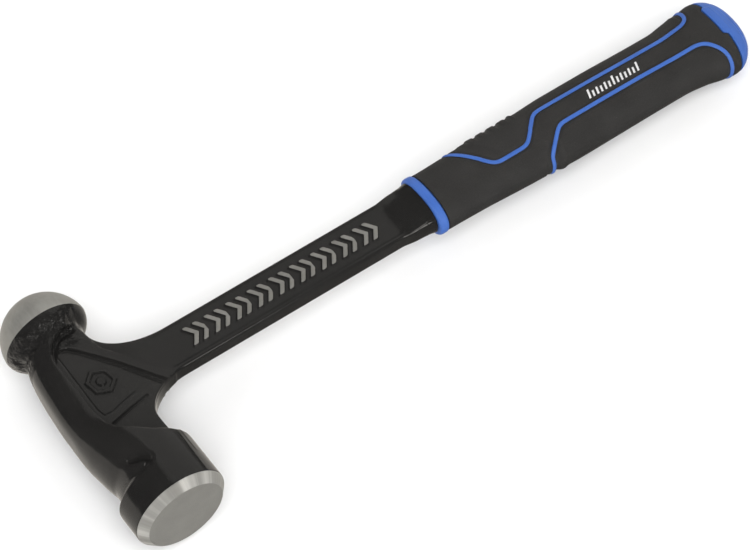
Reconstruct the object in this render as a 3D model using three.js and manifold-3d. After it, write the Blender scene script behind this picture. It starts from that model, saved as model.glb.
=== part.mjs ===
// One-piece forged ball peen hammer with a moulded grip, lying on its cheek.
// Millimetres. The head's axis is Y and the handle's axis is X. Pieces are built around the eye, where they cross.
// The finished group is moved to put its origin at the centre of the striking face. +Z is the cheek's normal.
import * as THREE from "three";
import { ParametricGeometry } from "three/addons/geometries/ParametricGeometry.js";
import { mergeVertices } from "three/addons/utils/BufferGeometryUtils.js";
import Module from "manifold-3d";

const wasm = await Module();
wasm.setup();

// ---- Driving dimensions ----
const GAP = 0.3; // clearance between pieces that touch
const ROUND_STEPS = 48; // facets around the head's turned parts
const GRIP_STEPS = 40; // facets around the grip

// Head, along Y from the eye
const FACE_Y = -67.7;
const FACE_RADIUS = 17.6;
const POLL_RADIUS = 21;
const BEVEL_Y = -63.75;
const POLL_REAR_Y = -50.5;
const BALL_RADIUS = 19.6;
const BALL_Y = 36;
const NECK_RADIUS = 13.7;
const NECK_Y = 28.5;
const NECK_OFFSET_X = -0.7;

// Cheek pocket: its floor is a plane that tapers towards the shaft
const POCKET = { height: 8.95, slopeX: -0.14, slopeY: 0.042 };

// Shaft
const SHAFT_HALF_WIDTH = 10.6;
const SHAFT_HALF_THICKNESS = 3.9;
const SHAFT_END_X = 150;

// The fillets between web and shaft are quarter ellipses. webX is where the web's edge lies.
const BALL_SIDE_FILLET = { webX: 13.3, alongX: 28.2, alongY: 16.6 };
const FACE_SIDE_FILLET = { webX: 14.8, alongX: 23.2, alongY: 16.0 };

// Tang, ring, grip and cap, along X from the eye
const BOSS_END_X = 164.7;
const RING = { start: 165, end: 169.5, halfWidth: 15.5, halfThickness: 9.4 };
const TANG = { end: 322, halfWidth: 7.5, halfThickness: 3.4 };
const CORE = { start: RING.start, end: 330 };
const GRIP_START_X = RING.end + GAP;
const CAP_START_X = 323.6;
const DOME = { start: 322, end: 336.5, fullness: 2.26 }; // the rounded butt end
const SKIN = 2.6; // thickness of the rubber over the core
const PIPING_WIDTH = 1.7;

// Grip sections: X, half width towards the ball side, half width towards the face side, half thickness
const GRIP_SECTIONS = [
  [164, 14.4, 15.4, 9.5],
  [172, 14.1, 15.1, 9.4],
  [190, 14.5, 15.4, 9.6],
  [203, 14.1, 16.0, 9.9],
  [215, 14.1, 16.5, 10.2],
  [228, 15.0, 16.9, 10.7],
  [240, 15.5, 17.2, 10.9],
  [260, 15.5, 17.0, 11.0],
  [285, 15.1, 16.8, 10.8],
  [297, 15.0, 16.8, 10.8],
  [308, 15.8, 17.8, 11.3],
  [316, 17.2, 19.6, 12.1],
  [DOME.start, 18.1, 20.9, 12.6],
];
const GRIP_SQUARENESS = 2.3;

// Mid-body sections of the head: Y, back (-X) reach, front (+X) reach, half thickness, squareness
const MID_SECTIONS = [
  [31, 14.0, 12.6, 13.2, 2.0],
  [26, 15.5, 13.0, 13.4, 2.4],
  [20, 16.8, 12.8, 13.2, 2.9],
  [5, 18.5, 13.2, 13.0, 3.5],
  [-6, 19.2, 13.8, 13.0, 3.5],
  [-13, 19.4, 14.0, 13.5, 3.3],
  [-19, 19.6, 14.0, 15.2, 2.9],
  [-25, 19.4, 14.2, 17.9, 2.5],
  [-30, 18.9, 14.6, 19.8, 2.2],
  [-34, 18.4, 15.6, 20.6, 2.1],
  [-36.5, 18.0, 18.4, 20.8, 2.05],
  [-39, 17.5, 20.5, 20.9, 2.0],
  [-42, 17.0, 20.9, 20.9, 2.0],
  [-48, 17.8, 20.9, 20.9, 2.0],
  [POLL_REAR_Y - 1, 18.6, 20.9, 20.9, 2.0],
];

// Flare from the flat shaft to the oval boss: X, half width, half thickness, squareness
const FLARE_SECTIONS = [
  [144, SHAFT_HALF_WIDTH - 0.2, SHAFT_HALF_THICKNESS - 0.3, 7],
  [149, 10.8, 4.3, 5],
  [154, 11.3, 5.3, 3.8],
  [160, 12.1, 7.1, 2.7],
  [BOSS_END_X, 13.2, 8.5, 2.3],
];

// The blue lines in plan: corners with their rounding radius. Both ends run over the grip's edge.
const BACK_LINE = [
  [183, 22, 0],
  [187.6, 12.3, 5],
  [200.6, -5.6, 6],
  [217.8, -5.7, 6],
  [229.6, 6.4, 6],
  [300, 5.6, 20],
  [315.6, 6.8, 6],
  [317.8, 26, 0],
];
const FINGER_LINE = [
  [219, -26, 0],
  [222, -16.7, 6],
  [235, -5.2, 6],
  [280, -5.2, 40],
  [314, -6.0, 10],
  [320.4, -20, 14],
  [320.6, -28, 0],
];

// Raised double chevrons along the shaft, pointing at the grip
const CHEVRON = { reach: 5, sweep: 3.4, width: 3.1, height: 0.8 };
const CHEVRON_PAIRS = { count: 9, first: 47.2, pitch: 10.75, between: 4.9 };

// ---- Materials ----
const lacquer = () => new THREE.MeshStandardMaterial({ color: 0x1b1a1a, roughness: 0.25, metalness: 0.4 });
const plastic = () => new THREE.MeshStandardMaterial({ color: 0x3965bb, roughness: 0.45, metalness: 0 });
const rubber = () => new THREE.MeshStandardMaterial({ color: 0x32302e, roughness: 0.8, metalness: 0 });

// ---- Solids ----
function solidOf(geometry) {
  const bare = geometry.index ? geometry.toNonIndexed() : geometry.clone();
  for (const name of Object.keys(bare.attributes)) {
    if (name !== "position") bare.deleteAttribute(name);
  }
  const merged = mergeVertices(bare, 1e-4);
  const corners = merged.index.array;
  const kept = [];
  for (let i = 0; i < corners.length; i += 3) {
    const [a, b, c] = corners.slice(i, i + 3);
    if (a !== b && b !== c && a !== c) kept.push(a, b, c);
  }
  return new wasm.Manifold(
    new wasm.Mesh({
      numProp: 3,
      vertProperties: merged.attributes.position.array,
      triVerts: new Uint32Array(kept),
    }),
  );
}

function geometryOf(solid) {
  const mesh = solid.getMesh();
  const geometry = new THREE.BufferGeometry();
  geometry.setAttribute("position", new THREE.BufferAttribute(new Float32Array(mesh.vertProperties), 3));
  geometry.setIndex(new THREE.BufferAttribute(new Uint32Array(mesh.triVerts), 1));
  geometry.computeVertexNormals();
  return geometry;
}

function joined(solids) {
  return solids.reduce((whole, next) => whole.add(next));
}

// Turned about Y. The profile is [radius, y] from the lowest y to the highest, on the axis at both ends.
function turned(profile) {
  const points = profile.map(([radius, y]) => new THREE.Vector2(radius, y));
  return new THREE.LatheGeometry(points, ROUND_STEPS);
}

// Lofted along X through ovals [x, half width +Y, half width -Y, half thickness, squareness], with flat ends.
function loftAlongX(sections, around) {
  const first = sections[0];
  const last = sections[sections.length - 1];
  const rings = [[first[0], 0, 0, 0, 2], ...sections, [last[0], 0, 0, 0, 2]];
  const surface = (u, v, target) => {
    const [x, plus, minus, thick, squareness] = rings[Math.round(v * (rings.length - 1))];
    const angle = 2 * Math.PI * (u % 1);
    const across = squircle(Math.cos(angle), squareness);
    const up = squircle(Math.sin(angle), squareness);
    target.set(x, across * (across > 0 ? plus : minus), up * thick);
  };
  return new ParametricGeometry(surface, around, rings.length - 1);
}

// A cosine or sine reshaped so that the closed section is a superellipse.
function squircle(value, squareness) {
  if (Math.abs(value) < 1e-9) return 0;
  return Math.sign(value) * Math.abs(value) ** (2 / squareness);
}

// A plan outline raised between two heights.
function prism(points, low, high) {
  const shape = new THREE.Shape(points.map(([x, y]) => new THREE.Vector2(x, y)));
  const geometry = new THREE.ExtrudeGeometry(shape, { depth: high - low, bevelEnabled: false, steps: 1 });
  return geometry.translate(0, 0, low);
}

// Everything between two places along X.
function slabBetween(start, end) {
  const reach = 30;
  return solidOf(prism([[start, -reach], [end, -reach], [end, reach], [start, reach]], -reach, reach));
}

// Mirrors a solid through the mid-plane, from the upper cheek to the lower one.
function mirroredDown(solid) {
  return solid.mirror([0, 0, 1]);
}

// Rounds the corners of a plan line [x, y, radius]; the ends stay sharp.
function rounded(corners) {
  const at = corners.map(([x, y]) => new THREE.Vector2(x, y));
  const points = [at[0]];
  for (let i = 1; i < at.length - 1; i++) {
    const back = at[i - 1].clone().sub(at[i]);
    const ahead = at[i + 1].clone().sub(at[i]);
    const half = Math.acos(back.dot(ahead) / (back.length() * ahead.length())) / 2;
    const run = Math.min(corners[i][2] / Math.tan(half), back.length() * 0.48, ahead.length() * 0.48);
    const start = at[i].clone().addScaledVector(back.normalize(), run);
    const end = at[i].clone().addScaledVector(ahead.normalize(), run);
    points.push(...new THREE.QuadraticBezierCurve(start, at[i], end).getPoints(4));
  }
  points.push(at[at.length - 1]);
  return points;
}

// The points of a plan line moved sideways by a distance, to its left as it runs.
function offsetLine(points, distance) {
  return points.map((point, i) => {
    const before = points[Math.max(i - 1, 0)];
    const after = points[Math.min(i + 1, points.length - 1)];
    const along = after.clone().sub(before).normalize();
    return new THREE.Vector2(point.x - along.y * distance, point.y + along.x * distance);
  });
}

// ---- Head and shaft ----
function ballAndNeck() {
  const steps = 14;
  const start = -Math.asin(3 / BALL_RADIUS);
  const profile = [
    [0, 12],
    [NECK_RADIUS, 12],
    [NECK_RADIUS, NECK_Y],
    [14.9, 30.8],
    [16.7, 32.2],
    [18.2, 33.0],
  ];
  for (let i = 1; i <= steps; i++) {
    const angle = start + ((Math.PI / 2 - start) * i) / steps;
    const radius = i < steps ? BALL_RADIUS * Math.cos(angle) : 0;
    profile.push([radius, BALL_Y + BALL_RADIUS * Math.sin(angle)]);
  }
  return solidOf(turned(profile).translate(NECK_OFFSET_X * 0.4, 0, 0));
}

function poll() {
  return solidOf(
    turned([
      [0, FACE_Y],
      [FACE_RADIUS, FACE_Y],
      [POLL_RADIUS, BEVEL_Y],
      [POLL_RADIUS, POLL_REAR_Y],
      [0, POLL_REAR_Y],
    ]),
  );
}

function midBody() {
  const sections = MID_SECTIONS.map(([y, back, front, ...rest]) => [y, front, back, ...rest]);
  const lofted = loftAlongX(sections.reverse(), ROUND_STEPS);
  // The loft runs along X with its width along Y. Swapping the two puts it on the head's axis.
  const swap = new THREE.Matrix4().set(0, 1, 0, 0, 1, 0, 0, 0, 0, 0, -1, 0, 0, 0, 0, 1);
  return solidOf(lofted.applyMatrix4(swap));
}

function pocketFloor(x, y) {
  return POCKET.height + POCKET.slopeX * x + POCKET.slopeY * y;
}

// The hollow above the pocket's floor on the upper cheek. Towards the poll it ends in a slanted rim.
function pocketHollow() {
  const plan = [
    [-7.2, 17],
    [-7.2, -10],
    [-6.6, -19],
    [-4.9, -26.2],
    [0.7, -31.8],
    [5.5, -34.9],
    [10.4, -37.2],
    [18, -39.2],
    [45, -39.3],
    [45, 31],
    [9, 30],
    [3, 29],
    [-2, 26.2],
    [-5.4, 22.6],
  ];
  const hollow = prism(plan.reverse(), 0, 30);
  const shear = new THREE.Matrix4();
  shear.set(1, 0, 0, 0, 0, 1, 0, 0, POCKET.slopeX, POCKET.slopeY, 1, POCKET.height, 0, 0, 0, 1);
  return solidOf(hollow.applyMatrix4(shear));
}

// A fillet's points from the angle where it meets one part to the angle where it meets the other.
function filletPoints(fillet, side, from, to) {
  const centreY = side * (SHAFT_HALF_WIDTH + fillet.alongY);
  const centreX = fillet.webX + fillet.alongX;
  const arc = new THREE.EllipseCurve(centreX, centreY, fillet.alongX, fillet.alongY, from, to, from > to);
  return arc.getPoints(10).map((p) => [p.x, p.y]);
}

// The face-side edge of the web, from the shaft round to the poll.
function faceSideEdge() {
  const fillet = filletPoints(FACE_SIDE_FILLET, -1, Math.PI / 2, Math.PI);
  return [...fillet, [FACE_SIDE_FILLET.webX, POLL_REAR_Y + 2]];
}

// The flat plate of the shaft and the thin part of the web.
function shaftPlate() {
  const plan = [
    [0, POLL_REAR_Y + 2],
    [0, 27.2],
    ...filletPoints(BALL_SIDE_FILLET, 1, Math.PI, 1.5 * Math.PI),
    [SHAFT_END_X, SHAFT_HALF_WIDTH],
    [SHAFT_END_X, -SHAFT_HALF_WIDTH],
    ...faceSideEdge(),
  ];
  const plate = solidOf(prism(plan.reverse(), -SHAFT_HALF_THICKNESS, SHAFT_HALF_THICKNESS));
  return chamferedEdges(plate);
}

// Breaks the long edges of the shaft with a small chamfer.
function chamferedEdges(plate) {
  const chamfer = 1;
  const width = SHAFT_HALF_WIDTH;
  const thick = SHAFT_HALF_THICKNESS;
  const section = new THREE.Shape([
    new THREE.Vector2(-width, -thick + chamfer),
    new THREE.Vector2(-width + chamfer, -thick),
    new THREE.Vector2(width - chamfer, -thick),
    new THREE.Vector2(width, -thick + chamfer),
    new THREE.Vector2(width, thick - chamfer),
    new THREE.Vector2(width - chamfer, thick),
    new THREE.Vector2(-width + chamfer, thick),
    new THREE.Vector2(-width, thick - chamfer),
  ]);
  const straight = { start: BALL_SIDE_FILLET.webX + BALL_SIDE_FILLET.alongX, end: SHAFT_END_X + 1 };
  const depth = straight.end - straight.start;
  const bar = new THREE.ExtrudeGeometry(section, { depth, bevelEnabled: false, steps: 1 });
  // The section's own X becomes the shaft's Y, its Y becomes Z, and it is drawn out along X.
  bar.applyMatrix4(new THREE.Matrix4().set(0, 0, 1, straight.start, 1, 0, 0, 0, 0, 1, 0, 0, 0, 0, 0, 1));
  return plate.subtract(slabBetween(straight.start, straight.end)).add(solidOf(bar));
}

// The thick wedge of the web. Its cheeks are the pocket floors, and it steps down to the shaft along a slant.
function webWedge() {
  const stepLine = [[32.6, -10.6], [28.5, -5.9], [18.5, 8.5], [13.6, 15.3]];
  const edge = faceSideEdge().filter(([, y]) => y < -SHAFT_HALF_WIDTH - 0.2);
  const plan = [[-6, 24], [10.1, 26], [11.2, 19.7], ...stepLine.reverse(), ...edge, [-6, POLL_REAR_Y + 2]];
  const wedge = prism(plan.reverse(), -1, 1);
  const position = wedge.attributes.position;
  for (let i = 0; i < position.count; i++) {
    const side = Math.sign(position.getZ(i));
    position.setZ(i, side * pocketFloor(position.getX(i), position.getY(i)));
  }
  return solidOf(wedge);
}

function flareAndTang() {
  const sections = FLARE_SECTIONS.map(([x, width, ...rest]) => [x, width, width, ...rest]);
  const flare = solidOf(loftAlongX(sections, ROUND_STEPS));
  const start = 158;
  const length = TANG.end - start;
  const tang = new THREE.BoxGeometry(length, 2 * TANG.halfWidth, 2 * TANG.halfThickness);
  return flare.add(solidOf(tang.translate(start + length / 2, 0, 0)));
}

// One raised chevron on the upper flat of the shaft.
function chevron(x) {
  const { reach, sweep, width, height } = CHEVRON;
  const plan = [
    [x, -reach],
    [x + width, -reach],
    [x + width + sweep, 0],
    [x + width, reach],
    [x, reach],
    [x + sweep, 0],
  ];
  return solidOf(prism(plan, SHAFT_HALF_THICKNESS - 0.5, SHAFT_HALF_THICKNESS + height));
}

function chevrons() {
  const { count, first, pitch, between } = CHEVRON_PAIRS;
  const starts = Array.from({ length: count }, (_, i) => first + i * pitch);
  return starts.flatMap((x) => [chevron(x), chevron(x + between)]);
}

function forgedBody() {
  const hollow = pocketHollow();
  const head = joined([ballAndNeck(), poll(), midBody()]);
  const pocketed = head.subtract(hollow).subtract(mirroredDown(hollow));
  const marks = chevrons();
  const raised = [...marks, ...marks.map(mirroredDown)];
  return joined([pocketed, webWedge(), shaftPlate(), flareAndTang(), ...raised]);
}

// ---- Grip ----
// The grip's sections, carried on over the butt dome by shrinking the last one.
function gripSections() {
  const steps = 7;
  const [, ...widest] = GRIP_SECTIONS[GRIP_SECTIONS.length - 1];
  const dome = [];
  for (let i = 1; i <= steps; i++) {
    const share = 0.995 * Math.sin((Math.PI / 2) * (i / steps));
    const shrink = (1 - share ** DOME.fullness) ** (1 / DOME.fullness);
    dome.push([DOME.start + share * (DOME.end - DOME.start), ...widest.map((size) => size * shrink)]);
  }
  return [...GRIP_SECTIONS, ...dome];
}

// The grip's outer form, shrunk all round by an inset and kept between two places along X.
function gripForm(inset, start, end, around) {
  const thickEnough = gripSections().filter((section) => section[3] > inset + 0.5);
  const sections = thickEnough.map(([x, ...sizes]) => [x, ...sizes.map((size) => size - inset), GRIP_SQUARENESS]);
  return solidOf(loftAlongX(sections, around)).intersect(slabBetween(start, end));
}

function gripCore() {
  const hole = new THREE.BoxGeometry(
    2 * (TANG.end - CORE.start + 1),
    2 * (TANG.halfWidth + GAP),
    2 * (TANG.halfThickness + GAP),
  );
  const form = gripForm(SKIN + GAP, CORE.start, CORE.end, GRIP_STEPS / 2);
  return form.subtract(solidOf(hole.translate(CORE.start, 0, 0)));
}

// Rubber and piping fill the layer between the core and the outer form.
function skin() {
  const inner = gripForm(SKIN, GRIP_START_X - 1, CAP_START_X + 1, GRIP_STEPS / 2);
  return gripForm(0, GRIP_START_X, CAP_START_X - GAP, GRIP_STEPS).subtract(inner);
}

// Everything on the outer side of a line moved sideways. The outer side is where both its ends are.
function outsideOf(line, distance) {
  const points = offsetLine(rounded(line), distance).map((p) => [p.x, p.y]);
  const turnsLeft = THREE.ShapeUtils.area(points.map(([x, y]) => ({ x, y }))) > 0;
  return solidOf(prism(turnsLeft ? points : points.reverse(), -30, 30));
}

// The side of each line that its pad is on: the back pad lies towards the ball, the finger pad towards the face.
const BACK_OUT = 1;
const FINGER_OUT = -1;

function pad(line, outward) {
  return skin().intersect(outsideOf(line, outward * (PIPING_WIDTH / 2 + GAP)));
}

function piping(line, outward) {
  const wide = outsideOf(line, (-outward * PIPING_WIDTH) / 2);
  const narrow = outsideOf(line, (outward * PIPING_WIDTH) / 2);
  return skin().intersect(wide).subtract(narrow);
}

function gripShell() {
  const clearance = PIPING_WIDTH / 2 + GAP;
  const back = outsideOf(BACK_LINE, -BACK_OUT * clearance);
  const finger = outsideOf(FINGER_LINE, -FINGER_OUT * clearance);
  return skin().subtract(back).subtract(finger);
}

function frontRing() {
  const { start, end, halfWidth, halfThickness } = RING;
  const bevel = 0.8;
  const inner = gripForm(SKIN, start - 1, end + 1, GRIP_STEPS / 2);
  const outer = loftAlongX(
    [
      [start, halfWidth - bevel, halfWidth - bevel, halfThickness - bevel, GRIP_SQUARENESS],
      [start + bevel, halfWidth, halfWidth, halfThickness, GRIP_SQUARENESS],
      [end - bevel, halfWidth, halfWidth, halfThickness, GRIP_SQUARENESS],
      [end, halfWidth - bevel, halfWidth - bevel, halfThickness - bevel, GRIP_SQUARENESS],
    ],
    GRIP_STEPS,
  );
  return solidOf(outer).subtract(inner);
}

function endCap() {
  const inner = gripForm(SKIN, CAP_START_X - 1, CORE.end + GAP, GRIP_STEPS / 2);
  return gripForm(0, CAP_START_X, DOME.end + 1, GRIP_STEPS).subtract(inner);
}

// ---- Assembly ----
const hammer = new THREE.Group();
hammer.position.set(0, -FACE_Y, 0);

function addPiece(name, solid, material) {
  const mesh = new THREE.Mesh(geometryOf(solid), material);
  mesh.name = name;
  hammer.add(mesh);
}

addPiece("forged_body", forgedBody(), lacquer());
addPiece("grip_core", gripCore(), plastic());
addPiece("front_ring", frontRing(), plastic());
addPiece("grip_shell", gripShell(), rubber());
addPiece("back_piping", piping(BACK_LINE, BACK_OUT), plastic());
addPiece("back_pad", pad(BACK_LINE, BACK_OUT), rubber());
addPiece("finger_piping", piping(FINGER_LINE, FINGER_OUT), plastic());
addPiece("finger_pad", pad(FINGER_LINE, FINGER_OUT), rubber());
addPiece("end_cap", endCap(), plastic());

const part = new THREE.Group();
part.add(hammer);

export default part;
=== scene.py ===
import math

import bmesh
import bpy
import numpy as np
from mathutils import Matrix, Vector


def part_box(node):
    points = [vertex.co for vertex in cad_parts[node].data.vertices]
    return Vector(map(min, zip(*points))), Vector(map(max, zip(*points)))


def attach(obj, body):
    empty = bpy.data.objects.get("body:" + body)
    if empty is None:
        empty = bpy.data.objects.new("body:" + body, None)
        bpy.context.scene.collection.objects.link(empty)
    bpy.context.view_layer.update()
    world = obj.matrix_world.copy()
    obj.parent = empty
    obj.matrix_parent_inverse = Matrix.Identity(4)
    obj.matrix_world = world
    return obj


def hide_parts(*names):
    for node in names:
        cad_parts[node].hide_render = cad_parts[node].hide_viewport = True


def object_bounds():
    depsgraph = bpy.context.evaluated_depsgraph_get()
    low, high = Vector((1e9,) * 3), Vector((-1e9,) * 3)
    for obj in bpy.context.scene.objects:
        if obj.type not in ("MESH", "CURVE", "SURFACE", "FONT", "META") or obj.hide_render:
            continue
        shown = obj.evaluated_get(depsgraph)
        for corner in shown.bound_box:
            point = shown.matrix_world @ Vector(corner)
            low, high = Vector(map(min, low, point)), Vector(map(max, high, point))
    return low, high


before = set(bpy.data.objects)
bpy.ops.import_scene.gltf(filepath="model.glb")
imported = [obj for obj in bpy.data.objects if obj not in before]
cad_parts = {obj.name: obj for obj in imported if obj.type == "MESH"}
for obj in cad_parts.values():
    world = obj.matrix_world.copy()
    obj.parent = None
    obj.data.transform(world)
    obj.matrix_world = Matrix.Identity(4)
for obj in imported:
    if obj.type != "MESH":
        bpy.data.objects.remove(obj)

cad_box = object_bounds()
MM = 0.001


def box_mm(node):
    low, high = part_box(node)
    return np.array(low) / MM, np.array(high) / MM


ring_low, ring_high = box_mm("front_ring")
EYE_Y = (ring_low[1] + ring_high[1]) / 2  # the handle's axis, measured from the striking face
BUTT_X = cad_box[1].x / MM

# ---- Driving dimensions, in mm ----
STEP = 0.45  # spacing of the lattice that the forging is meshed on

FACE_Y = -EYE_Y
POLL_RADIUS = cad_box[1].z / MM
FACE_RADIUS = 17.6
BEVEL_Y = -63.75
POLL_REAR_Y = -50.5
BALL_Y = 36.0
BALL_RADIUS = cad_box[1].y / MM - EYE_Y - BALL_Y
GROUND_BALL_Y = 36.5

SHAFT_HALF_WIDTH = 10.6
SHAFT_HALF_THICKNESS = 3.9
# Web edge along X, fillet radius across the shaft, and how much the fillet is drawn out along the shaft
BALL_SIDE_FILLET = (13.3, 16.6, 1.7)
FACE_SIDE_FILLET = (14.8, 16.0, 1.45)
# Raised double chevrons along the shaft: pairs of bars, each bar bent back by its sweep
MARKS = {
    "first": 47.2, "pitch": 10.75, "count": 9, "between": 4.9, "reach": 5.0, "sweep": 3.4, "half_width": 1.3,
}
MARK_HEIGHT = 0.8
MARK_DRAFT = 0.45  # how much a bar's half width shrinks per millimetre of height

BOSS_END_X = ring_low[0] - 0.1
SQUARENESS = 2.3


# ---- Small numeric tools ----
def union(a, b, radius):
    """Joins two distance fields with a fillet of this radius."""
    pocket = np.hypot(np.maximum(radius - a, 0), np.maximum(radius - b, 0))
    return np.maximum(radius, np.minimum(a, b)) - pocket


def common(a, b, radius):
    """Keeps what is inside both distance fields, with the edge rounded to this radius."""
    return -union(-a, -b, radius)


def cut(a, b, radius):
    return common(a, -b, radius)


def smoothstep(low, high, value):
    t = np.clip((value - low) / (high - low), 0, 1)
    return t * t * (3 - 2 * t)


def bump(value, width):
    return np.exp(-((value / width) ** 2))


class Profile:
    """Smooth curves through rows [position, value, value, ...]."""

    def __init__(self, rows):
        table = np.array(sorted(rows), float)
        self.at = table[:, 0]
        self.values = table[:, 1:]
        self.slopes = self._slopes()

    def _slopes(self):
        """Slopes that never overshoot between rows."""
        gap = np.diff(self.at)[:, None]
        rise = np.diff(self.values, axis=0) / gap
        slopes = np.zeros_like(self.values)
        slopes[0], slopes[-1] = rise[0], rise[-1]
        before, after = rise[:-1], rise[1:]
        same = before * after > 0
        total = np.where(same, before + after, 1)
        slopes[1:-1] = np.where(same, 2 * before * after / total, 0)
        return slopes

    def __call__(self, position, column):
        position = np.clip(position, self.at[0], self.at[-1])
        i = np.clip(np.searchsorted(self.at, position) - 1, 0, len(self.at) - 2)
        gap = self.at[i + 1] - self.at[i]
        t = (position - self.at[i]) / gap
        v0, v1 = self.values[i, column], self.values[i + 1, column]
        m0, m1 = self.slopes[i, column] * gap, self.slopes[i + 1, column] * gap
        t2, t3 = t * t, t * t * t
        return v0 * (2 * t3 - 3 * t2 + 1) + m0 * (t3 - 2 * t2 + t) + v1 * (3 * t2 - 2 * t3) + m1 * (t3 - t2)


def oval(u, v, half_u, half_v, squareness):
    """Roughly the distance to a superellipse."""
    a = np.abs(u) / half_u
    b = np.abs(v) / half_v
    level = (a**squareness + b**squareness + 1e-9) ** (1 / squareness)
    return (level - 1) * np.minimum(half_u, half_v)


def polygon(x, y, corners):
    """Distance to a closed outline in plan, negative inside."""
    nearest = np.full(np.broadcast(x, y).shape, np.inf)
    inside = np.zeros(nearest.shape, bool)
    for (ax, ay), (bx, by) in zip(corners, corners[1:] + corners[:1]):
        ex, ey = bx - ax, by - ay
        t = np.clip(((x - ax) * ex + (y - ay) * ey) / (ex * ex + ey * ey), 0, 1)
        nearest = np.minimum(nearest, np.hypot(x - ax - t * ex, y - ay - t * ey))
        if ey != 0:
            crossed = (ay > y) != (by > y)
            inside ^= crossed & (x < ax + (y - ay) * ex / ey)
    return np.where(inside, -nearest, nearest)


def line_distance(x, y, points):
    """Distance to an open line in plan, and how far along it the nearest place is, from 0 to 1."""
    lengths = [math.dist(a, b) for a, b in zip(points, points[1:])]
    nearest = np.full(np.broadcast(x, y).shape, np.inf)
    along = np.zeros(nearest.shape)
    done = 0.0
    for (ax, ay), (bx, by), length in zip(points, points[1:], lengths):
        ex, ey = bx - ax, by - ay
        t = np.clip(((x - ax) * ex + (y - ay) * ey) / (length * length), 0, 1)
        distance = np.hypot(x - ax - t * ex, y - ay - t * ey)
        along = np.where(distance < nearest, (done + t * length) / sum(lengths), along)
        nearest = np.minimum(nearest, distance)
        done += length
    return nearest, along


# ---- The forging as a distance field ----
# Y, back (-X) reach, front (+X) reach, half thickness, squareness
MID_BODY = Profile([
    [33, 13.0, 12.2, 12.4, 2.0],
    [29.5, 14.3, 12.9, 13.7, 2.0],
    [26.7, 15.3, 13.0, 13.5, 2.3],
    [22.8, 16.3, 12.8, 13.3, 2.7],
    [17, 17.3, 12.8, 13.1, 3.1],
    [5, 18.5, 13.2, 13.0, 3.5],
    [-6, 19.25, 13.8, 13.0, 3.5],
    [-13, 19.4, 14.0, 13.5, 3.3],
    [-19, 19.6, 14.0, 15.2, 2.9],
    [-25, 19.4, 14.2, 17.9, 2.5],
    [-30, 18.9, 14.6, 19.8, 2.2],
    [-34, 18.4, 15.6, 20.6, 2.1],
    [-36.5, 18.0, 18.4, 20.9, 2.05],
    [-39, 17.5, 20.6, 21.0, 2.0],
    [-42, 16.9, 21.0, 21.0, 2.0],
    [-48, 17.8, 21.0, 21.0, 2.0],
    [-52, 19.0, 21.0, 21.0, 2.0],
])
# X, half width, half thickness, squareness
FLARE = Profile([
    [143, 10.3, 3.5, 7.0],
    [148, 10.7, 4.0, 5.5],
    [153, 11.2, 5.0, 4.0],
    [158, 11.8, 6.4, 3.0],
    [162, 12.5, 7.7, 2.5],
    [166, 13.4, 8.8, 2.3],
])
# Lines of the cheek in plan, on the pocket's floor and around it
POCKET_OUTLINE = [
    (-7.2, 17), (-7.2, -10), (-6.8, -15), (-6.6, -19), (-6.2, -22.5), (-4.9, -26.2), (-2.2, -29.4),
    (0.7, -31.8), (5.5, -34.9), (10.4, -37.2), (14.7, -38.7), (18, -39.2), (22, -39.3), (45, -39.3),
    (45, 31), (9, 30), (3, 29), (-2, 26.2), (-5.4, 22.6),
]
# The floor is a plane that tapers towards the shaft
POCKET = {"height": 8.95, "slope_x": -0.14, "slope_y": 0.042, "rounding": 0.8}
# The deep curl between the cheek panel and the neck
VALLEY_LINE = [(-7.4, 18.6), (-3.6, 24.2), (1.6, 28), (7.5, 28.6)]
# The hooked hollow where the waist runs out against the poll's rear rim
HOOK_LINE = [
    (-10.8, -40.6), (-8.2, -43), (-4.6, -45.6), (-3.0, -47.4), (-4.4, -49.2), (-8.5, -50.3), (-12.5, -51),
]
HOOK_DEPTH = 2.3
# The step down from the web to the shaft
STEP_LINE = [
    (34.5, -14), (31.4, -9), (28.5, -5.9), (23.4, 1.2), (18.5, 8.5), (13.2, 15.3), (11.2, 19.7),
    (10.1, 27), (9.5, 34),
]
STEP_STEEPNESS = 0.86  # turns a distance along X into one square to the step
RIDGE_LINE = [(-1.6, 21.6), (1.2, 20.6), (4.4, 17.4), (10.2, 10.7), (15.6, 4.0), (20.6, -3.2), (26.8, -12.0)]
GROOVE_LINE = [(-2.6, -19.6), (7, -16.9), (16.6, -14.7)]
PANEL_LINE = [(-4.6, 18.5), (-4.8, -10.5), (-3.6, -14.6), (0.2, -14.4), (7.6, -12.2), (15.5, -10.2)]
BADGE = {"x": 4.2, "y": 0.4, "radius": 5.0, "boss": 2.0, "stroke": 0.75, "height": 0.8, "turn": 12}


def pocket_floor(x, y):
    """Height of the cheek pocket's floor, with its ridge, groove, panel line and badge."""
    floor = POCKET["height"] + POCKET["slope_x"] * x + POCKET["slope_y"] * y
    valley, _ = line_distance(x, y, VALLEY_LINE)
    floor = floor - 1.3 * bump(valley, 1.5)
    ridge, along = line_distance(x, y, RIDGE_LINE)
    half_gap = 0.75 + 0.75 * along
    floor = floor + 0.6 * bump(ridge - half_gap, 0.42) - 0.65 * bump(ridge, half_gap * 0.75)
    groove, along = line_distance(x, y, GROOVE_LINE)
    floor = floor - (0.75 - 0.45 * along) * bump(groove, 0.5) + 0.15 * bump(groove - 1.0, 0.4)
    panel, along = line_distance(x, y, PANEL_LINE)
    floor = floor - 0.3 * smoothstep(1.0, 0.93, along) * bump(panel, 0.4)
    return floor + badge(x, y)


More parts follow.
